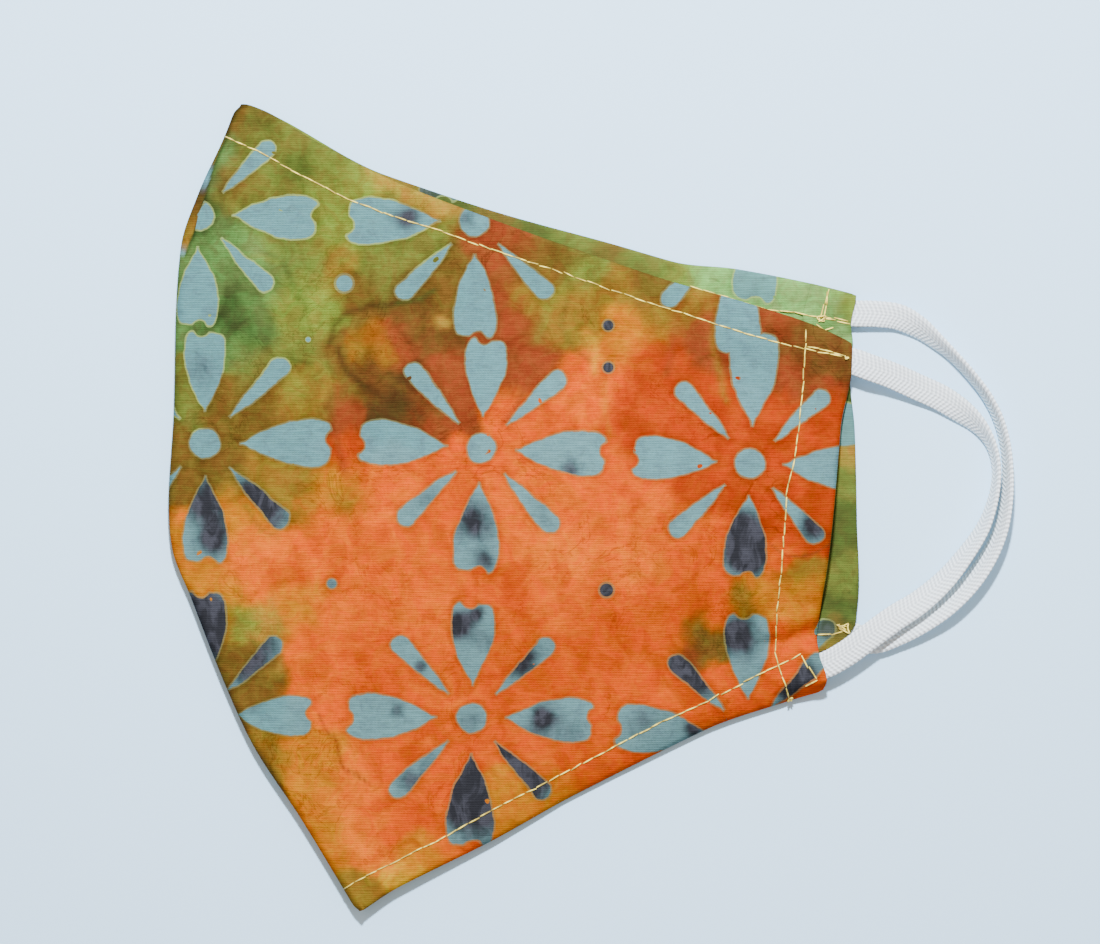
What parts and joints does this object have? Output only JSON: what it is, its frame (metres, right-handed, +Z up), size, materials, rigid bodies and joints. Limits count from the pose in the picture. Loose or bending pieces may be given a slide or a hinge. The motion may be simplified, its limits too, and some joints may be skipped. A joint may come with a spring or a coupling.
{
  "type": "cloth face mask",
  "caption": "Contoured two-ply cloth face mask folded flat on its centre seam, printed cotton outside, paler inside, with flat white elastic ear loops.",
  "frame": {"origin": "middle of the base, on the surface that the mask lies on", "axes": "+Z up from the surface, through the thickness of the folded mask; +X from the fold at the nose seam towards the ear loops; +Y from the chin towards the nose"},
  "size_m": [0.1605, 0.1544, 0.0114],
  "materials": {
    "outer_print": "plain-weave cotton, orange ground with blue-grey wax-resist flowers",
    "lining_print": "plain-weave cotton, pale green and olive side of the same print",
    "hem_print": "turned-in cotton, olive",
    "elastic": "white braided flat elastic"
  },
  "bodies": {
    "root": {"left_outer_panel": "outer_print", "left_lining": "lining_print", "left_side_hem": "hem_print", "right_outer_panel": "outer_print", "right_lining": "lining_print", "right_side_hem": "hem_print", "left_ear_loop": "elastic", "right_ear_loop": "elastic"}
  },
  "joints": []
}
